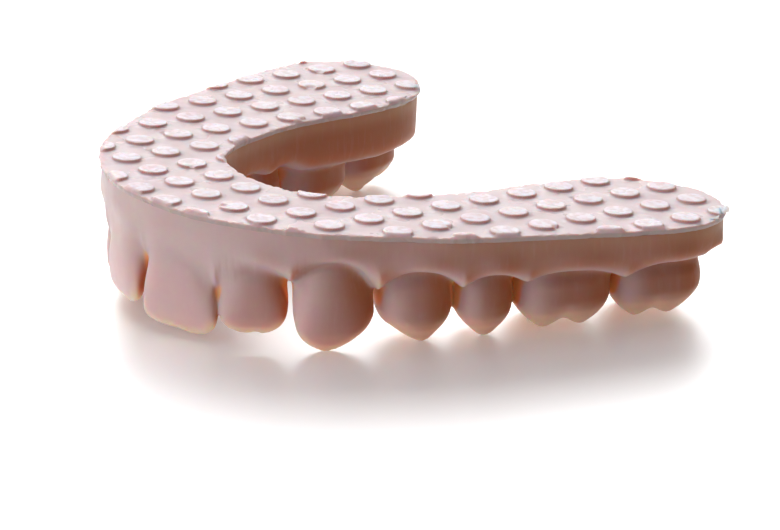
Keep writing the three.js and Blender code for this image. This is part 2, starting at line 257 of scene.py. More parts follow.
RIDGE_SLOPE = 0.8
RIDGE_ROUND = 0.9
RIDGE_BOW = 1.7  # ridges leave their cusps level and steepen
GROOVE_BLEND = 0.3
TAPER = {"front": 0.1, "back": 0.06}  # how much narrower a crown gets towards the tongue
LEAST_SLOPE = 0.35
EDGE_LEVEL = 0.6  # how far a sloping edge is raised, as a share of its fall at a corner
CORNER_POWER = 5
LOBES = 3
EDGE_SCALE, EDGE_ROUND = 0.92, 0.9
CUSP_DROP, CUSP_SCALE, CUSP_ROUND = 0.15, 0.8, 1.2
ROOT_ROUND = 0.8


def as_distance(field, step):
    """A field scaled so that it rises at about 1 per millimetre."""
    slope = np.sqrt(sum(part**2 for part in np.gradient(field, step)))
    return field / np.maximum(slope, LEAST_SLOPE)


def crown_body(tooth, shape, x, y, share, step):
    """Distance to a crown's sides, which run on past its biting end and its neck."""
    def profile(row):
        levels, values = shape[row]
        return smooth_curve(list(zip(LEVELS[levels], values)))(share)

    half = tooth["width"] * profile("width")
    half = half * np.where(x > 0, 1 + tooth.get("rear", 0), 1)
    outer = tooth["out"] - profile("outer")
    inner = tooth["out"] - tooth["depth"] + profile("inner")
    deep = (outer - inner) / 2
    v = (y - (outer + inner) / 2) / deep
    taper = TAPER["back" if tooth["kind"] in BACK else "front"]
    u = x / (half * (1 + taper * np.clip(v - 1, -3, 0)))
    power = shape["power"]
    reach = (np.abs(u)**power + np.abs(v)**power) ** (1 / power)
    return as_distance((reach - 1) * np.minimum(half, deep), step)


def biting_edge(tooth, x):
    """Height of a front crown's biting edge."""
    edge = FRONT[tooth["kind"]]["edge"]
    if tooth["kind"] == "canine":
        away = x + edge["shift"] * tooth["width"]
        slope = np.where(away < 0, edge["mesial"], edge["distal"])
        rise = np.sqrt(away**2 + edge["round"]) - math.sqrt(edge["round"])
        return slope * rise + edge["curve"] * away**2
    half = tooth["width"] / 2
    share = x / half
    corner = np.where(share < 0, edge["mesial"], edge["distal"]) * np.abs(share) ** CORNER_POWER
    lobes = edge["lobes"] * np.cos(share * LOBES * math.pi)
    return edge["slope"] * x + EDGE_LEVEL * max(-edge["slope"], 0) * half + corner + lobes


def chewing_surface(tooth, x, y):
    """Height of a back crown's chewing surface over its tip: the lowest of its ridges' slopes."""
    half = tooth["width"] / 2
    deep = tooth["depth"] / 2
    middle = tooth["out"] - deep
    total = 0
    for (u0, v0, z0), (u1, v1, z1) in RIDGES[tooth["kind"]]:
        u0 += tooth.get("lean", 0)
        ax, ay = u0 * half, middle + v0 * deep
        ex, ey = (u1 - u0) * half, (v1 - v0) * deep
        along = np.clip(((x - ax) * ex + (y - ay) * ey) / (ex**2 + ey**2), 0, 1)
        away = np.sqrt((x - ax - along * ex)**2 + (y - ay - along * ey)**2 + RIDGE_ROUND**2) - RIDGE_ROUND
        height = z0 + (z1 - z0) * along**RIDGE_BOW + RIDGE_SLOPE * away
        total = total + np.exp(-height / GROOVE_BLEND)
    return -GROOVE_BLEND * np.log(total)


def crown_field(tooth, x, y, z, step):
    """Distance to a crown, negative inside, from the tooth's own frame: x along the arch towards
    the back, y outwards, z up from the resting plane."""
    share = (z - tooth["tip"]) / (tooth["neck"] - tooth["tip"])
    if tooth["kind"] in FRONT:
        body = crown_body(tooth, FRONT[tooth["kind"]], x, y, share, step)
        end = (tooth["tip"] + biting_edge(tooth, x) - z) * EDGE_SCALE
        crown = soft_max(body, end, EDGE_ROUND)
    else:
        body = crown_body(tooth, BACK[tooth["kind"]], x, y, share, step)
        end = (tooth["tip"] - CUSP_DROP + chewing_surface(tooth, x, y) - z) * CUSP_SCALE
        crown = soft_max(body, end, CUSP_ROUND)
    return soft_max(crown, z - (tooth["neck"] + ROOT), ROOT_ROUND)


def placed_teeth():
    """Every crown with its side (sign), width, heading (along) and middle. The heading and middle
    are the left crown's, in the row's axes before its shift."""
    for side, sign in (("left", 1), ("right", -1)):
        for k, model in enumerate(TEETH):
            step = CONTACTS[k + 1] - CONTACTS[k]
            middle = (CONTACTS[k] + CONTACTS[k + 1]) / 2
            lift = RIGHT_LIFT.get(model["name"], 0) if sign < 0 else 0
            yield dict(model, node=f"{side}_{model['name']}", sign=sign, width=float(np.hypot(*step)),
                       along=step / np.hypot(*step), middle=middle, tip=model["tip"] + lift)


# ---- The field ----
LOW = np.array([-35.4, -28.0, -14.6])
HIGH = np.array([35.4, 28.0, 0.6])
LINE_STEPS = 24  # points on the contact line for each tooth
LINE_HEIGHT = 6.0
FESTOON_POWER = 2.3
PAPILLA_ROUND = 0.25
SIDE_BLEND = 5  # width over which the tongue side's gum depths give way to the cheek side's
# The wall swells over each root and sinks between them, more so near the gum's edge.
SWELL, SINK = 0.35, 0.15
SWELL_REACH = 2
SWELL_START, SWELL_POWER = 1.0, 1.4
# Rounding of the gum's edge, how much more it is on the tongue side, and what it is at the rear.
ROUNDING, TONGUE_ROUNDING, REAR_ROUNDING = 1.7, 0.3, 0.5
REAR_START, REAR_LENGTH = 6.6, 0.8  # in tooth numbers
BLOCK_SIDE, BLOCK_ROOM = 1.6, 1.4  # room round a crown in its block of the grid
CROWN_BLEND = 0.6
GUM_BLEND = 1.4
FAR = 3.0  # value of a crown's field where it isn't worked out
cells = np.ceil((HIGH - LOW) / VOXEL).astype(int) + 1
axes = [LOW[k] + VOXEL * np.arange(cells[k]) for k in range(3)]


def arch_places(points):
    """For points in the plane: the tooth coordinate (whole numbers at contacts, negative on the
    right) and the offset from the contact line, positive outwards."""
    half = np.vstack([CONTACTS, TAIL])
    whole = np.vstack([half[:0:-1] * (-1, 1), half])
    row = np.column_stack([whole, np.full(len(whole), LINE_HEIGHT)]) + [BASE_ORIGIN[0], BASE_ORIGIN[1], 0]
    line = catmull_rom(to_base(row)[:, :2], False, LINE_STEPS)
    number = np.arange(len(line)) / LINE_STEPS - (len(half) - 1)
    tangent = np.gradient(line, axis=0)
    length = np.linalg.norm(tangent, axis=1)
    pace = np.gradient(number) / length
    tangent /= length[:, None]
    number_out = np.empty(len(points))
    offset_out = np.empty(len(points))
    for start in range(0, len(points), CHUNK):
        p = points[start:start + CHUNK]
        gap = p[:, None] - line
        near = (gap**2).sum(-1).argmin(1)
        way = gap[np.arange(len(p)), near]
        along = (way * tangent[near]).sum(1)
        number_out[start:start + CHUNK] = number[near] + along * pace[near]
        offset_out[start:start + CHUNK] = way[:, 0] * tangent[near, 1] - way[:, 1] * tangent[near, 0]
    return number_out, offset_out


def festoon(number, margins, papillae):
    """The gum's depth at a tooth coordinate: arches over the crowns that meet in points."""
    depth = np.empty_like(number)
    for side, sign in (("left", 1), ("right", -1)):
        mine = number >= 0 if sign > 0 else number < 0
        at = np.clip(np.abs(number[mine]), 0, len(margins[side]) - 0.001)
        k = at.astype(int)
        share = at - k
        top = np.array(margins[side])[k]
        tips = np.array(papillae[side])
        end = np.where(share < 0.5, tips[k], tips[k + 1])
        fall = 1 - np.abs(2 * share - 1) ** FESTOON_POWER
        fall = np.sqrt(fall**2 + PAPILLA_ROUND**2) - PAPILLA_ROUND * (1 - np.clip(fall, 0, 1))
        depth[mine] = end + (top - end) * fall
    return depth


def gum_field():
    """Distance to the base and gum over the whole grid."""
    gx, gy = np.meshgrid(axes[0], axes[1], indexing="ij")
    flat = np.column_stack([gx.ravel(), gy.ravel()])
    wall = loop_distance(flat, outline).reshape(gx.shape)
    number, offset = arch_places(flat)
    number, offset = number.reshape(gx.shape), offset.reshape(gx.shape)
    outer = festoon(number, MARGINS, PAPILLAE)
    inner = festoon(number, PALATE_MARGINS, PALATE_PAPILLAE)
    blend = np.clip(offset / SIDE_BLEND + 0.5, 0, 1)
    blend = blend**2 * (3 - 2 * blend)
    depth = inner + (outer - inner) * blend
    slope = np.sqrt(sum(part**2 for part in np.gradient(depth, VOXEL)))
    swell = (SWELL * np.cos(2 * math.pi * (number - 0.5)) - SINK) * np.clip(offset / SWELL_REACH, 0, 1)
    z = axes[2][None, None]
    ramp = np.clip((-z - SWELL_START) / (depth[..., None] - SWELL_START), 0, 1)
    side = wall[..., None] - swell[..., None] * ramp**SWELL_POWER
    bottom = (-depth[..., None] - z) / np.sqrt(1 + slope**2)[..., None]
    rear = np.clip((np.abs(number) - REAR_START) / REAR_LENGTH, 0, 1)
    rounding = (ROUNDING + TONGUE_ROUNDING * (1 - blend)) * (1 - rear) + REAR_ROUNDING * rear
    return soft_max(side, bottom, rounding[..., None]).astype(np.float32)


def crown_block(tooth):
    """The grid block round a crown and its field there."""
    reach = tooth["width"] / 2 + BLOCK_SIDE
    along, across = tooth["along"], np.array([tooth["along"][1], -tooth["along"][0]])
    corners = []
    for a, b, z in itertools.product(
            (-reach, reach), (tooth["out"] + BLOCK_ROOM, tooth["out"] - tooth["depth"] - BLOCK_ROOM),
            (tooth["tip"] - BLOCK_ROOM, tooth["neck"] + ROOT + BLOCK_ROOM)):
        place = tooth["middle"] + along * a + across * b
        corners.append((tooth["sign"] * place[0] + BASE_ORIGIN[0], place[1] + BASE_ORIGIN[1], z))
    box = to_base(np.array(corners))
    low = np.maximum(((box.min(0) - LOW) / VOXEL).astype(int), 0)
    high = np.minimum(np.ceil((box.max(0) - LOW) / VOXEL).astype(int) + 1, cells)
    block = tuple(slice(a, b) for a, b in zip(low, high))
    grid = np.stack(np.meshgrid(*(axes[k][block[k]] for k in range(3)), indexing="ij"), -1)
    row = to_row(grid)
    px = tooth["sign"] * (row[..., 0] - BASE_ORIGIN[0]) - tooth["middle"][0]
    py = row[..., 1] - BASE_ORIGIN[1] - tooth["middle"][1]
    x = px * along[0] + py * along[1]
    y = px * across[0] + py * across[1]
    return block, crown_field(tooth, x, y, row[..., 2], VOXEL).astype(np.float32)


teeth = list(placed_teeth())
blocks = {tooth["node"]: crown_block(tooth) for tooth in teeth}
crowns = np.full(cells, FAR, np.float32)
for block, field in blocks.values():
    crowns[block] = soft_min(crowns[block], field, CROWN_BLEND)
gum = gum_field()
whole = soft_min(crowns, gum, GUM_BLEND)


def surface(field):
    """Points and triangles of a field's zero surface, in the base frame."""
    grid = openvdb.FloatGrid(FAR)
    grid.copyFromArray(np.ascontiguousarray(np.clip(field, -FAR, FAR), dtype=np.float32))
    points, triangles, quads = grid.convertToPolygons(0.0, 0.0)
    faces = np.vstack([np.asarray(triangles, int).reshape(-1, 3), quads[:, [0, 1, 2]], quads[:, [0, 2, 3]]])
    return LOW + VOXEL * np.asarray(points, float), faces.astype(int)


points, faces = surface(whole)


# ---- Parting the surface into pieces ----
LAYER_BOTTOM = -LAYER
APEX_DEPTH = 2.75  # a crown's cap runs in to a point this far below the base face
APEX_HEIGHT = 8.0  # where the point's place in the plane is taken, in the row frame
CUT_LOW, CUT_HIGH = 0.12, 0.88  # where along an edge a cut may be
NORMAL_STEP = 0.75 * VOXEL
CREASE_REACH = 1.0
SEAM_REACH = 4.0
GUM, BASE, TOP = len(teeth), len(teeth) + 1, len(teeth) + 2


def sampled(field, low, places):
    """A grid field's values at places in the base frame."""
    at = (places - low) / VOXEL
    size = np.array(field.shape)
    cell = np.clip(np.floor(at).astype(int), 0, size - 2)
    u = np.clip(at - cell, 0, 1)
    value = 0
    for corner in range(8):
        step = np.array([corner & 1, corner >> 1 & 1, corner >> 2])
        weight = np.prod(np.where(step, u, 1 - u), axis=1)
        value = value + weight * field[tuple((cell + step).T)]
    return value


def tooth_values(places):
    """Each crown's field, and last the gum's, at places on the surface."""
    values = np.full((len(places), len(teeth) + 1), FAR)
    for k, tooth in enumerate(teeth):
        block, field = blocks[tooth["node"]]
        low = np.array([axes[a][block[a].start] for a in range(3)])
        high = np.array([axes[a][block[a].stop - 1] for a in range(3)])
        inside = ((places > low) & (places < high)).all(1)
        values[inside, k] = sampled(field, low, places[inside])
    values[:, GUM] = sampled(gum, LOW, places)
    return values


def islands(count, pairs):
    """A number for each point, the same for points joined by pairs."""
    mark = np.arange(count)
    while True:
        low = np.minimum(mark[pairs[:, 0]], mark[pairs[:, 1]])
        before = mark.copy()
        np.minimum.at(mark, pairs[:, 0], low)
        np.minimum.at(mark, pairs[:, 1], low)
        mark = mark[mark]
        if (mark == before).all():
            return mark


def edges_of(triangles):
    return np.vstack([triangles[:, [0, 1]], triangles[:, [1, 2]], triangles[:, [2, 0]]])


def labelled(places, triangles, values):
    """Each point's piece: the crown or gum that is nearest, then by height for gum, base and top."""
    label = values.argmin(1)
    pairs = edges_of(triangles)
    same = pairs[label[pairs[:, 0]] == label[pairs[:, 1]]]
    mark = islands(len(places), same)
    for k in range(len(teeth)):
        mine = label == k
        marks, counts = np.unique(mark[mine], return_counts=True)
        label[mine & (mark != marks[counts.argmax()])] = GUM
    on_gum = label == GUM
    label[on_gum & (places[:, 2] > SLAB_BOTTOM)] = BASE
    label[on_gum & (places[:, 2] > LAYER_BOTTOM)] = TOP
    return label


def parted(places, triangles, label, values):
    """The surface cut along the lines between labels: points and each label's triangles."""
    edges = np.sort(edges_of(triangles), 1)
    edges = edges[label[edges[:, 0]] != label[edges[:, 1]]]
    edges = np.unique(edges, axis=0)
    a, b = edges.T
    la, lb = label[a], label[b]
    planar = (la >= GUM) & (lb >= GUM)
    level = np.where(np.maximum(la, lb) == TOP, LAYER_BOTTOM, SLAB_BOTTOM)
    rise = np.where(planar, places[b, 2] - places[a, 2], 1)
    flat_share = (level - places[a, 2]) / np.where(np.abs(rise) < TINY, 1, rise)
    ta, tb = np.minimum(la, GUM), np.minimum(lb, GUM)
    da = values[a, ta] - values[a, tb]
    db = values[b, ta] - values[b, tb]
    seam_share = da / np.where(np.abs(da - db) < TINY, -1, da - db)
    share = np.clip(np.where(planar, flat_share, seam_share), CUT_LOW, CUT_HIGH)
    cut = places[a] + share[:, None] * (places[b] - places[a])
    cut[planar, 2] = level[planar]
    number = {(int(p), int(q)): len(places) + k for k, (p, q) in enumerate(edges)}

    def between(p, q):
        return number[(p, q) if p < q else (q, p)]

    lab = label[triangles]
    plain = (lab[:, 0] == lab[:, 1]) & (lab[:, 1] == lab[:, 2])
    out = {k: [triangles[plain][lab[plain][:, 0] == k]] for k in range(TOP + 1)}
    extra = []
    parts = {k: [] for k in range(TOP + 1)}
    for tri in triangles[~plain].tolist():
        names = [int(label[v]) for v in tri]
        if len(set(names)) == 2:
            k = next(i for i in range(3) if names.count(names[i]) == 1)
            p, q, r = tri[k], tri[(k + 1) % 3], tri[(k + 2) % 3]
            pq, rp = between(p, q), between(r, p)
            parts[names[k]].append((p, pq, rp))
            parts[names[(k + 1) % 3]] += [(pq, q, r), (pq, r, rp)]
        else:
            middle = len(places) + len(edges) + len(extra)
            mids = [between(tri[i], tri[(i + 1) % 3]) for i in range(3)]
            extra.append(np.mean([cut[m - len(places)] for m in mids], axis=0))
            for i in range(3):
                parts[names[i]] += [(tri[i], mids[i], middle), (tri[i], middle, mids[i - 1])]
    for k, more in parts.items():
        if more:
            out[k].append(np.array(more))
    return (np.vstack([places, cut] + ([np.array(extra)] if extra else [])),
            {k: np.vstack(groups) for k, groups in out.items()})


def open_edges(triangles):
    """The directed edges that only one triangle has."""
    edges = edges_of(triangles)
    size = int(edges.max()) + 1
    forward = edges[:, 0] * size + edges[:, 1]
    backward = edges[:, 1] * size + edges[:, 0]
    return edges[~np.isin(forward, backward)]


def loops(edges):
    """Directed edges chained into closed loops."""
    follow = {}
    for a, b in edges.tolist():
        follow.setdefault(a, []).append(b)
    out = []
    while follow:
        start = next(iter(follow))
        loop, at = [], start
        while at in follow:
            loop.append(at)
            onward = follow[at].pop()
            if not follow[at]:
                del follow[at]
            at = onward
        out.append(loop)
    return out


def normals_of(places):
    """Outward unit normals from the whole field's slope."""
    steps = NORMAL_STEP * np.eye(3)
    slope = np.stack([sampled(whole, LOW, places + step) - sampled(whole, LOW, places - step)
                      for step in steps], 1)
    return slope / np.maximum(np.linalg.norm(slope, axis=1), TINY)[:, None]


def blurred(field, reach):
    """A field averaged over a box of about this half size, twice."""
    cells_wide = 2 * int(round(reach / VOXEL)) + 1
    half = cells_wide // 2
    for axis in range(3):
        for _ in range(2):
            pad = [(0, 0)] * 3
            pad[axis] = (half + 1, half)
            run = np.cumsum(np.pad(field, pad, mode="edge"), axis=axis, dtype=np.float64)
            high = np.take(run, range(cells_wide, run.shape[axis]), axis=axis)
            low = np.take(run, range(0, run.shape[axis] - cells_wide), axis=axis)
            field = ((high - low) / cells_wide).astype(np.float32)
    return field


def solid_share():
    """How much of the space within a millimetre or so is resin: over a half in creases."""
    return blurred(np.clip(0.5 - whole / (2 * VOXEL), 0, 1), CREASE_REACH)


values = tooth_values(points)
label = labelled(points, faces, values)
points, regions = parted(points, faces, label, values)
normals = normals_of(points)


def lid(loop, places, up):
    """Flat triangles that close a level loop, facing up or down."""
    flat = [Vector((places[v][0], places[v][1], 0)) for v in loop]
    out = np.array(geometry.tessellate_polygon([flat]))
    a, b, c = (np.array([places[loop[i]][:2] for i in column]) for column in out.T)
    turn = (b - a)[:, 0] * (c - a)[:, 1] - (b - a)[:, 1] * (c - a)[:, 0]
    wrong = (turn > 0) != up
    out[wrong] = out[wrong][:, ::-1]
    return np.array(loop)[out]


# ---- Meshes ----
def build_mesh(name, places, surface_faces, cap_faces, attributes, normal=None):
    """A closed mesh in metres in the row's frame, with smooth outer faces and flat caps."""
    used, index = np.unique(np.vstack([surface_faces, cap_faces]), return_inverse=True)
    index = index.reshape(-1, 3)
    mesh = bpy.data.meshes.new(name)
    mesh.vertices.add(len(used))
    mesh.vertices.foreach_set("co", (to_row(places[used]) * MM).ravel())
    mesh.loops.add(index.size)
    mesh.loops.foreach_set("vertex_index", index.ravel())
    mesh.polygons.add(len(index))
    mesh.polygons.foreach_set("loop_start", np.arange(0, index.size, 3))
    smooth = np.arange(len(index)) < len(surface_faces)
    mesh.update(calc_edges=True)
    mesh.polygons.foreach_set("use_smooth", smooth)
    mesh.validate()
    if normal is not None:
        row_normal = (normal @ ROW_FROM_BASE.T)[used]
        corners = row_normal[index.ravel()]
        flat = np.empty(len(index) * 3)
        mesh.polygons.foreach_get("normal", flat)
        corners[len(surface_faces) * 3:] = np.repeat(flat.reshape(-1, 3), 3, 0)[len(surface_faces) * 3:]
        mesh.normals_split_custom_set(corners.tolist())
    for label, value in attributes.items():
        data = mesh.attributes.new(label, "FLOAT", "POINT").data
        data.foreach_set("value", value[used].astype(np.float32))
    piece = bpy.data.objects.new(name, mesh)
    bpy.context.scene.collection.objects.link(piece)
    return piece


def seam_distance(places, seam_points):
    """How far each place is from the nearest seam, up to SEAM_REACH."""
    tree = kdtree.KDTree(len(seam_points))
    for k, place in enumerate(seam_points):
        tree.insert(place, k)
    tree.balance()
    return np.array([min(tree.find(place)[2], SEAM_REACH) for place in places])


# The second nearest crown's field for a contact, the crease's share for its painted glow, and the
# height over the resting plane that the painted light from below reaches, each with the length it
# fades over.
CONTACT_START, CONTACT_REACH = 1.25, 1.6
GLOW_START, GLOW_RANGE = 0.52, 0.12
PAINTED_UNDERLIGHT_TOP, PAINTED_UNDERLIGHT_REACH = 5.0, 3


def surface_look():
    """For the material, at each point: distance from a seam, how deep in a crease (for painted shade
    in creases and painted light at thin edges), how near a contact's crease (for a painted glow), how
    far it faces SHADE_SIDE (for painted shade), how far it faces down near the resting plane (for
    painted light from below), and depth below the base face."""
    seams = np.unique(np.vstack([open_edges(regions[k]) for k in range(TOP)]))
    crease = sampled(solid_share(), LOW, points)
    second_crown = np.partition(tooth_values(points)[:, :GUM], 1, axis=1)[:, 1]
    contact = np.clip(CONTACT_START - second_crown / CONTACT_REACH, 0, 1)
    row_normals = normals @ ROW_FROM_BASE.T
    near_floor = np.clip((PAINTED_UNDERLIGHT_TOP - to_row(points)[:, 2]) / PAINTED_UNDERLIGHT_REACH, 0, 1)
    return dict(
        seam=seam_distance(points, points[seams]),
        crease=crease,
        painted_glow=contact * np.clip((crease - GLOW_START) / GLOW_RANGE, 0, 1),
        painted_shade_facing=row_normals @ SHADE_SIDE,
        low=np.clip(-row_normals[:, 2], 0, 1) * near_floor,
        depth=-points[:, 2])


def cap_apex(tooth):
    """The point under a crown's middle that its cap runs in to."""
    across = np.array([tooth["along"][1], -tooth["along"][0]])
    centre = tooth["middle"] + across * (tooth["out"] - tooth["depth"] / 2)
    row = np.array([[tooth["sign"] * centre[0] + BASE_ORIGIN[0], centre[1] + BASE_ORIGIN[1], APEX_HEIGHT]])
    return np.append(to_base(row)[0, :2], -APEX_DEPTH)


look = {name: np.append(value, np.zeros(len(teeth))) for name, value in surface_look().items()}
first_apex = len(points)
points = np.vstack([points, [cap_apex(tooth) for tooth in teeth]])
normals = np.vstack([normals, np.zeros((len(teeth), 3))])

pieces = {}
gum_caps = []
for k, tooth in enumerate(teeth):
    rim = open_edges(regions[k])
    apex = np.full(len(rim), first_apex + k)
    cap = np.column_stack([rim[:, 1], rim[:, 0], apex])
    gum_caps.append(np.column_stack([rim[:, 0], rim[:, 1], apex]))
    pieces[tooth["node"]] = build_mesh(tooth["node"] + "_print", points, regions[k], cap, look, normals)
gum_rims = loops(open_edges(np.vstack([regions[GUM]] + gum_caps)))
gum_lids = [lid(loop, points, True) for loop in gum_rims]
pieces["gum"] = build_mesh(
    "gum_print", points, regions[GUM], np.vstack(gum_caps + gum_lids), look, normals)
SLAB_MIDDLE = (LAYER_BOTTOM + SLAB_BOTTOM) / 2
base_rims = loops(open_edges(regions[BASE]))
base_lids = [lid(loop, points, points[loop[0]][2] > SLAB_MIDDLE) for loop in base_rims]
pieces["horseshoe_base"] = build_mesh(
    "horseshoe_base_print", points, regions[BASE], np.vstack(base_lids), look, normals)


# ---- The first layer and its discs ----
RINGS = [(1.62, 0.0), (1.54, 0.07), (1.50, 0.20), (1.455, 0.31), (1.37, 0.345), (1.2, 0.33),
         (0.85, 0.31), (0.5, 0.305), (0.2, 0.305)]  # a disc's radius and height, from its foot in
RING_STEPS = 36
RING_FULL = 1.2  # rings smaller than this have fewer points
EDGE_STEP = 0.22
PLAIN_STEP = 0.62
PLAIN_JITTER = 0.15
DISC_CLEARANCE, EDGE_CLEARANCE = 0.18, 0.12  # plain points keep this far off discs and the outline
EDGE_PUSH = 0.2  # how far the layer stands out past the base
# Noise as (amount, scale, seed) layers.
EDGE_WAVES = [(0.12, 0.55, 1), (0.10, 1.7, 2), (0.06, 4.2, 3)]
PLAIN_WAVES = [(0.012, 0.9, 5), (0.008, 3.4, 6)]
TORN_WAVES = [(0.5, 1.3, 9), (0.5, 3.7, 10)]
DISC_WAVES = [(0.022, 2.1, 0), (0.012, 5.0, 3)]
TORN_WIDTH, TORN_DEPTH = 0.45, 0.3
CUT_DISC = 0.35  # share of a disc's height that is left where the rim cuts it
CHIP_EDGE = 0.18
BELLY_WAVE = 0.07
# The edge's side: how far in from the rim and at what height each of its rings is.
SIDE_RINGS = [(-0.04, -0.16), (0.06, -0.4), (0.16, -LAYER)]
# Broken discs: the disc's column and row from the grid's own disc, the break's middle from the
# disc's, its radius, and the share of the disc's height that is gone.
CHIPS = [
    (-5, 3, 0.85, -0.75, 0.62, 0.9), (-3, 1, 1.2, 0.75, 0.45, 0.8), (-6, 4, 0.95, -0.95, 0.5, 0.7),
    (2, -4, -0.75, -0.95, 0.6, 0.75), (5, -1, 1.25, 0.75, 0.42, 0.8), (6, 1, 1.3, 0.5, 0.4, 0.7),
    (4, -1, -1.2, 0.5, 0.35, 0.6), (-1, -3, 1.1, -0.8, 0.4, 0.6),
]
# Slivers at the rims: where each starts, which way it points, its length and width.
FLAKES = [((31.6, 22.4), (0.85, 0.5), 1.5, 1.9), ((33.0, 20.9), (0.97, -0.1), 1.0, 1.1),
          ((-20.1, 22.9), (0.8, 0.45), 1.0, 1.0), ((-17.6, 19.9), (0.95, 0.1), 0.6, 0.8)]
FLAKE_STEPS, FLAKE_SIDES = 14, 6
SHARP_ANGLE = math.radians(62)


def chatter(x, y, scale, seed):
    """Smooth noise from -1 to 1 at a place in the plane."""
    return noise.noise(Vector((x * scale, y * scale, seed * 17.3)))


def waves(x, y, layers, start=0.0, seed=0.0):
    """Layers of chatter added to a start."""
    return sum((amount * chatter(x, y, scale, seed + own) for amount, scale, own in layers), start)


def resampled(loop, step):
    """A closed loop as points about a step apart."""
    closed = np.vstack([loop, loop[:1]])
    run = np.concatenate([[0], np.cumsum(np.linalg.norm(np.diff(closed, axis=0), axis=1))])
    at = np.linspace(0, run[-1], int(run[-1] / step), endpoint=False)
    return np.column_stack([np.interp(at, run, closed[:, k]) for k in range(2)])


def ragged_outline():
    """The first layer's edge: a little outside the base, scalloped and torn."""
    loop = resampled(outline, EDGE_STEP)
    tangent = np.roll(loop, -1, 0) - np.roll(loop, 1, 0)
    tangent /= np.linalg.norm(tangent, axis=1)[:, None]
    outward = np.column_stack([tangent[:, 1], -tangent[:, 0]])
    push = np.array([waves(x, y, EDGE_WAVES, EDGE_PUSH) for x, y in loop])
    return loop + outward * push[:, None]


def disc_place(i, j):
    return GRID_OFFSET[0] + DISC_PITCH * i, GRID_OFFSET[1] + DISC_PITCH * j


centres = np.array([disc_place(i, j) for i in range(-9, 10) for j in range(-9, 10)])
centres = centres[loop_distance(centres, outline) < DISC_RADIUS + 0.1]
disc_profile = smooth_curve(RINGS[::-1])
disc_seed = RNG.uniform(0, 50, len(centres))


def chip_depth(x, y, rise):
    """How much is broken off a disc here."""
    depth = 0
    for i, j, dx, dy, reach, share in CHIPS:
        disc_x, disc_y = disc_place(i, j)
        away = math.hypot(x - disc_x - dx, y - disc_y - dy) + 0.12 * chatter(x, y, 4.0, 12)
        depth = max(depth, min(max((reach - away) / CHIP_EDGE, 0), 1) * share)
    return depth * max(rise, 0)


def top_height(places, rim):
    """Height of the layer's upper side, discs and all. Discs cut by the rim are torn down there."""
    out = np.empty(len(places))
    edge_share = np.clip(-loop_distance(places, rim) / TORN_WIDTH, 0, 1)
    whole_disc = CUT_DISC + (1 - CUT_DISC) * edge_share**2 * (3 - 2 * edge_share)
    for k, (x, y) in enumerate(places):
        gap = np.hypot(centres[:, 0] - x, centres[:, 1] - y)
        near = int(gap.argmin())
        seed = disc_seed[near]
        radius = gap[near] * (1 + 0.012 * chatter(x, y, 1.1, seed))
        rise = float(disc_profile(radius)) * whole_disc[k]
        mottle = waves(x, y, DISC_WAVES, seed=seed) * min(rise / 0.3, 1)
        torn = max(0.0, waves(x, y, TORN_WAVES)) * (1 - edge_share[k]) * TORN_DEPTH
        out[k] = waves(x, y, PLAIN_WAVES) + rise + mottle - torn - chip_depth(x, y, rise)
    return out


def layer_spots():
    """Places for the upper side's points: rings on the discs and a jittered grid between them."""
    spots = []
    for x, y in centres:
        for ring, (radius, _) in enumerate(RINGS):
            steps = max(6, int(RING_STEPS * min(1, radius / RING_FULL)))
            turn = 2 * math.pi * (np.arange(steps) + (ring % 2) / 2) / steps
            spots.append(np.column_stack([x + radius * np.cos(turn), y + radius * np.sin(turn)]))
        spots.append([(x, y)])
    spots = np.vstack(spots)
    gx, gy = np.meshgrid(np.arange(-35, 35, PLAIN_STEP), np.arange(-28, 28, PLAIN_STEP), indexing="ij")
    jitter = RNG.uniform(-PLAIN_JITTER, PLAIN_JITTER, (gx.size, 2))
    plain = np.column_stack([gx.ravel(), gy.ravel()]) + jitter
    gap = np.linalg.norm(plain[:, None] - centres[None], axis=2).min(1)
    spots = np.vstack([spots, plain[gap > RINGS[0][0] + DISC_CLEARANCE]])
    return spots[loop_distance(spots, outline) < -EDGE_CLEARANCE]


def layer_mesh():
    """The layer's points, and the triangles of its upper side and edge, and of its lower side."""
    rim = ragged_outline()
    flat = np.vstack([rim, layer_spots()])
    n = len(rim)
    verts, _, triangles, origin, _, _ = geometry.delaunay_2d_cdt(
        [Vector(p) for p in flat], [], [list(range(n))], 1, 1e-6, True)
    if len(verts) != len(flat) or any(len(o) != 1 or o[0] != k for k, o in enumerate(origin)):
        raise ValueError("the layer's outline crosses itself")
    triangles = np.array(triangles)
    triangles = triangles[loop_distance(flat[triangles].mean(1), rim) < 0]
    inward = np.roll(rim, -1, 0) - np.roll(rim, 1, 0)
    inward = np.column_stack([-inward[:, 1], inward[:, 0]]) / np.linalg.norm(inward, axis=1)[:, None]
    rings = [np.column_stack([rim + inset * inward, np.full(n, level)]) for inset, level in SIDE_RINGS]
    rings[0][:, 2] += [BELLY_WAVE * chatter(x, y, 2.5, 8) for x, y in rim]
    start = [0] + [len(flat) + k * n for k in range(len(rings))]
    here = np.arange(n)
    onward = (here + 1) % n
    sides = []
    for a, b in zip(start[:-1], start[1:]):
        sides += [np.column_stack([a + here, b + onward, a + onward]),
                  np.column_stack([a + here, b + here, b + onward])]
    places = np.vstack([np.column_stack([flat, top_height(flat, rim)])] + rings)
    low = lid([start[-1] + k for k in range(n)], places, False)
    return places, np.vstack([triangles] + sides), low


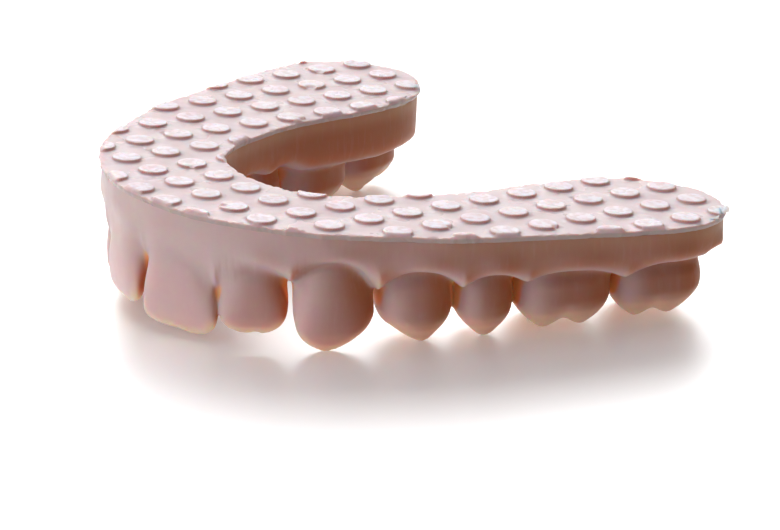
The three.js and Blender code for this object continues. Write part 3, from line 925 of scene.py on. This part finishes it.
def flake(place, way, length, width, seed):
    """A closed twisted sliver of torn resin that stands out from the layer's rim."""
    shell = []
    for i in range(FLAKE_STEPS):
        share = i / (FLAKE_STEPS - 1)
        twist = 0.9 * share + 0.5 * chatter(share, 0, 2.0, seed)
        half = width / 2 * (1 - 0.75 * share**1.5) * (1 + 0.3 * chatter(share, 1, 4.0, seed))
        curl = 0.1 + 0.35 * math.sin(2.4 * share)
        middle = np.array([*place, 0.0]) + np.array([*way, curl]) * length * share
        for k in range(FLAKE_SIDES):
            turn = 2 * math.pi * k / FLAKE_SIDES
            flat = np.array([-way[1], way[0], 0.0]) * math.cos(turn) * half
            thick = 0.07 * math.sin(turn) * (1 - 0.6 * share)
            rise = np.array([0, 0, math.sin(twist) * math.cos(turn) * half + thick])
            shell.append(middle + flat * math.cos(twist) + rise)
    index = []
    for i in range(FLAKE_STEPS - 1):
        for k in range(FLAKE_SIDES):
            a, b = i * FLAKE_SIDES + k, i * FLAKE_SIDES + (k + 1) % FLAKE_SIDES
            index += [(a, b, b + FLAKE_SIDES), (a, b + FLAKE_SIDES, a + FLAKE_SIDES)]
    last = (FLAKE_STEPS - 1) * FLAKE_SIDES
    for k in range(1, FLAKE_SIDES - 1):
        index += [(0, k + 1, k), (last, last + k, last + k + 1)]
    return np.array(shell), np.array(index)


def layer_look(places):
    """For the material, at each point: height over the seam, depth below the base face, how far up
    a disc, and how near the side of a whole disc, where painted shade goes."""
    away = np.min([np.hypot(places[:, 0] - x, places[:, 1] - y) for x, y in centres], axis=0)
    on_side = np.clip(1 - np.abs(away - RINGS[2][0]) / 0.08, 0, 1)
    in_from_edge = np.clip(-loop_distance(places[:, :2], outline) / 0.3, 0, 1)
    return dict(
        seam=np.clip(places[:, 2] + LAYER, 0, SEAM_REACH),
        depth=-places[:, 2],
        disc=np.clip((places[:, 2] - 0.05) / 0.25, 0, 1),
        side=on_side * in_from_edge)


layer_places, layer_faces, layer_low = layer_mesh()
for seed, sliver in enumerate(FLAKES, 20):
    shell, index = flake(*sliver, seed)
    layer_faces = np.vstack([layer_faces, index + len(layer_places)])
    layer_places = np.vstack([layer_places, shell])
pieces["first_layer_with_discs"] = build_mesh(
    "first_layer_with_discs_print", layer_places, layer_faces, layer_low, layer_look(layer_places))
pieces["first_layer_with_discs"].data.set_sharp_from_angle(angle=SHARP_ANGLE)


# ---- Materials ----
MIX_SHARE, MIX_UNDER, MIX_OVER, MIX_OUT = 0, 6, 7, 2  # a colour Mix node's sockets
SEAM_SPREAD = 0.02 * MM  # how far light spreads at a seam, against a full millimetre


class Shading:
    """A new material's nodes. Sockets go in and out of each method."""

    def __init__(self, name):
        self.material = bpy.data.materials.new(name)
        self.material.use_nodes = True
        self.tree = self.material.node_tree
        self.tree.nodes.clear()
        self.shader = self.node("BsdfPrincipled")
        self.link(self.shader.outputs["BSDF"], self.node("OutputMaterial").inputs["Surface"])

    def node(self, kind):
        return self.tree.nodes.new("ShaderNode" + kind)

    def link(self, value, socket):
        self.tree.links.new(value, socket)

    def vertex(self, name, low, high, out_high=1.0, out_low=0.0):
        """A vertex value, mapped smoothly from one range to another."""
        node = self.node("Attribute")
        node.attribute_name = name
        return self.ranged(node.outputs["Fac"], low, high, out_low, out_high)

    def ranged(self, value, low, high, out_low=0.0, out_high=1.0):
        """A value mapped smoothly from one range to another."""
        node = self.node("MapRange")
        node.interpolation_type = "SMOOTHSTEP"
        ends = {"From Min": low, "From Max": high, "To Min": out_low, "To Max": out_high}
        for name, end in ends.items():
            node.inputs[name].default_value = end
        self.link(value, node.inputs["Value"])
        return node.outputs["Result"]

    def product(self, a, b):
        node = self.node("Math")
        node.operation = "MULTIPLY"
        self.link(a, node.inputs[0])
        self.link(b, node.inputs[1])
        return node.outputs[0]

    def mixed(self, share, under, over):
        """One colour laid over another. The lower one is a colour or a socket."""
        node = self.node("Mix")
        node.data_type = "RGBA"
        self.link(share, node.inputs[MIX_SHARE])
        if isinstance(under, tuple):
            node.inputs[MIX_UNDER].default_value = (*under, 1)
        else:
            self.link(under, node.inputs[MIX_UNDER])
        node.inputs[MIX_OVER].default_value = (*over, 1)
        return node.outputs[MIX_OUT]

    def speckle(self, size, detail=3.0, stretch=(1, 1, 1)):
        """Noise whose grain is about a size in millimetres."""
        scaled = self.node("VectorMath")
        scaled.operation = "MULTIPLY"
        scaled.inputs[1].default_value = stretch
        self.link(self.node("TexCoord").outputs["Object"], scaled.inputs[0])
        grain = self.node("TexNoise")
        grain.inputs["Scale"].default_value = 1 / (size * MM)
        grain.inputs["Detail"].default_value = detail
        self.link(scaled.outputs["Vector"], grain.inputs["Vector"])
        return grain.outputs["Fac"]

    def finish(self, colour, roughness, bumps, radius, reach):
        """Feeds the shader. Bumps are (height, distance in millimetres), one over another. Light
        spreads under the surface by a radius for each colour, but less within reach of a seam."""
        under = None
        for height, distance in bumps:
            bump = self.node("Bump")
            bump.inputs["Strength"].default_value = 1.0
            bump.inputs["Distance"].default_value = distance * MM
            self.link(height, bump.inputs["Height"])
            if under is not None:
                self.link(under, bump.inputs["Normal"])
            under = bump.outputs["Normal"]
        inputs = self.shader.inputs
        self.link(under, inputs["Normal"])
        self.link(colour, inputs["Base Color"])
        self.link(roughness, inputs["Roughness"])
        self.shader.subsurface_method = "RANDOM_WALK"
        inputs["Subsurface Weight"].default_value = 1.0
        inputs["Subsurface Radius"].default_value = radius
        inputs["Subsurface Anisotropy"].default_value = 0.5
        self.link(self.vertex("seam", 0.0, reach, MM, SEAM_SPREAD), inputs["Subsurface Scale"])
        inputs["IOR"].default_value = 1.5
        return self.material


def printed_resin():
    """Cured beige-pink resin: satin, with faint build streaks. Painted shade browns the side turned
    from the light, with a painted amber glow near the base face there; painted shade and a painted
    orange glow sit in the creases and contacts, and painted light makes thin edges and the
    undersides near the resting plane paler."""
    make = Shading("printed_resin")
    mottle = make.ranged(make.speckle(6.0, 4.0), 0.3, 0.7)
    colour = make.mixed(mottle, (0.68, 0.50, 0.49), (0.72, 0.535, 0.52))
    # Painted shade: the side turned from the lights goes mauve-brown, then deep brown-orange, standing in
    # for shade and light through the resin.
    colour = make.mixed(make.vertex("painted_shade_facing", -0.1, 0.6, 0.9), colour, (0.56, 0.35, 0.315))
    painted_shade = make.vertex("painted_shade_facing", 0.3, 1.0, 0.97)
    colour = make.mixed(painted_shade, colour, (0.47, 0.15, 0.045))
    # Painted glow: amber near the base face on the painted-shade side, standing in for light through the
    # resin.
    painted_amber_glow = make.product(make.vertex("depth", 2.6, 0.7, 0.4), painted_shade)
    colour = make.mixed(painted_amber_glow, colour, (0.74, 0.47, 0.30))
    for name, low, high, most, over in (
            # Painted light from below: paler peach on undersides near the resting plane.
            ("low", 0.05, 0.8, 0.95, (1.0, 0.66, 0.48)),
            # Painted shade and a painted warm glow: orange-brown in deep creases.
            ("crease", 0.56, 0.80, 0.35, (0.62, 0.28, 0.16)),
            # Painted glow: orange in the creases between touching crowns, standing in for light through the
            # resin.
            ("painted_glow", 0.1, 0.9, 0.85, (0.95, 0.42, 0.16)),
            # Painted light: paler where the resin is thin, at edges and tips, standing in for light through
            # it.
            ("crease", 0.40, 0.22, 0.7, (0.90, 0.65, 0.52))):
        colour = make.mixed(make.vertex(name, low, high, most), colour, over)
    streak = make.ranged(make.speckle(0.5, 4.0, (1, 1, 0.16)), 0.5, 0.8, 0.0, 0.07)
    colour = make.mixed(streak, colour, (0.80, 0.66, 0.66))
    roughness = make.ranged(make.speckle(1.6), 0.35, 0.7, 0.36, 0.5)
    bumps = [(make.speckle(0.16, 3.0), 0.006), (make.speckle(0.9, 2.0, (1, 1, 0.15)), 0.02),
             (make.speckle(2.5, 2.0), 0.03)]
    make.shader.inputs["Specular IOR Level"].default_value = 0.35
    return make.finish(colour, roughness, bumps, (4.0, 1.4, 0.6), 1.6)


def first_layer_resin():
    """The first layer: mauve, with whitish patches on the discs' tops, painted shade on the discs' sides,
    and browner where it falls below the base face at its rim.
    """
    make = Shading("first_layer_resin")
    mottle = make.ranged(make.speckle(2.4, 5.0), 0.35, 0.65)
    colour = make.mixed(mottle, (0.62, 0.475, 0.485), (0.69, 0.545, 0.56))
    frost = make.ranged(make.speckle(0.7, 5.0), 0.38, 0.6, 0.25, 1.0)
    colour = make.mixed(make.product(frost, make.vertex("disc", 0.75, 0.95)), colour, (0.78, 0.70, 0.76))
    # Painted shade: browner round the sides of whole discs.
    colour = make.mixed(make.vertex("side", 0.3, 0.9, 0.7), colour, (0.46, 0.27, 0.22))
    colour = make.mixed(make.vertex("depth", 0.02, 0.2, 0.75), colour, (0.50, 0.40, 0.36))
    roughness = make.ranged(make.speckle(7.0, 3.0), 0.4, 0.62, 0.24, 0.48)
    bumps = [(make.speckle(0.3, 2.0), 0.003), (make.speckle(1.1, 2.0), 0.02)]
    return make.finish(colour, roughness, bumps, (1.6, 0.7, 0.45), 1.0)


print_resin = printed_resin()
layer_resin = first_layer_resin()

for node, piece in pieces.items():
    on_layer = node == "first_layer_with_discs"
    piece.data.materials.append(layer_resin if on_layer else print_resin)
    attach(piece, "root")
    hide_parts(node)

# ---- Floor, light and camera ----
CAMERA_PLACE = Vector((370.30, -268.24, 153.62)) * MM
CAMERA_WAY = Vector((-0.7632, 0.5633, -0.3164))
CAMERA_ROLL = math.radians(-0.45)
LENS = 214.4
# Directions in the plane: the camera looks along WAY, and LEFT is the picture's left.
WAY = Vector((CAMERA_WAY.x, CAMERA_WAY.y, 0)).normalized()
LEFT = Vector((-WAY.y, WAY.x, 0))
# Each soft light's place in metres, width, height, power and colour. All of them look at the origin.
LIGHTS = {
    "back_light": (WAY * 0.75 + LEFT * 0.1 + Vector((0, 0, 0.62)), 0.9, 0.6, 3.0, (1, 1, 1)),
    "left_light": (LEFT * 0.52 - WAY * 0.42 + Vector((0, 0, 0.42)), 0.5, 0.5, 2.0, (0.98, 0.97, 1)),
    "top_light": (LEFT * 0.1 - WAY * 0.05 + Vector((0, 0, 0.8)), 0.4, 0.4, 1.2, (1, 0.98, 1)),
}
# The world is brightest towards WORLD_WAY and dim where a direction's cosine to it is under 0.2.
WORLD_WAY = (WAY * 0.9 + LEFT * 0.2 + Vector((0, 0, 0.3))).normalized()
WORLD_RANGE = {"From Min": 0.2, "From Max": 1.0, "To Min": 0.05, "To Max": 1.6}
FLOOR = {"Base Color": (0.93, 0.93, 0.93, 1), "Metallic": 0.45, "Roughness": 0.42,
         "Emission Color": (1, 1, 1, 1), "Emission Strength": 0.12}


def pale_floor():
    make = Shading("pale_floor")
    for name, value in FLOOR.items():
        make.shader.inputs[name].default_value = value
    bpy.ops.mesh.primitive_plane_add(size=8, location=(0, 0, 0))
    floor = bpy.context.object
    floor.name = "floor"
    floor.data.materials.append(make.material)


def soft_box(name, place, width, height, power, colour):
    """A square area light that looks at the origin."""
    data = bpy.data.lights.new(name, "AREA")
    data.shape = "RECTANGLE"
    data.size, data.size_y = width, height
    data.energy = power
    data.color = colour
    light = bpy.data.objects.new(name, data)
    light.location = place
    light.rotation_euler = (-place).to_track_quat("-Z", "Y").to_euler()
    bpy.context.scene.collection.objects.link(light)


def add_camera():
    data = bpy.data.cameras.new("camera")
    data.lens = LENS
    data.sensor_width = 36
    data.clip_start = 0.01
    data.clip_end = 20
    camera = bpy.data.objects.new("camera", data)
    turn = CAMERA_WAY.to_track_quat("-Z", "Y").to_matrix() @ Matrix.Rotation(CAMERA_ROLL, 3, "Z")
    camera.matrix_world = Matrix.Translation(CAMERA_PLACE) @ turn.to_4x4()
    bpy.context.scene.collection.objects.link(camera)
    bpy.context.scene.camera = camera


def studio_world():
    """White behind, above and to the left of the picture, dim in front and to the right."""
    world = bpy.data.worlds.new("studio")
    world.use_nodes = True
    nodes, links = world.node_tree.nodes, world.node_tree.links
    place = nodes.new("ShaderNodeTexCoord")
    lean = nodes.new("ShaderNodeVectorMath")
    lean.operation = "DOT_PRODUCT"
    lean.inputs[1].default_value = WORLD_WAY
    light = nodes.new("ShaderNodeMapRange")
    light.interpolation_type = "SMOOTHSTEP"
    for name, value in WORLD_RANGE.items():
        light.inputs[name].default_value = value
    links.new(place.outputs["Generated"], lean.inputs[0])
    links.new(lean.outputs["Value"], light.inputs["Value"])
    back = nodes["Background"]
    back.inputs["Color"].default_value = (1, 1, 1, 1)
    links.new(light.outputs["Result"], back.inputs["Strength"])
    bpy.context.scene.world = world
    bpy.context.scene.view_settings.view_transform = "Standard"


pale_floor()
studio_world()
add_camera()
for name, light in LIGHTS.items():
    soft_box(name, *light)
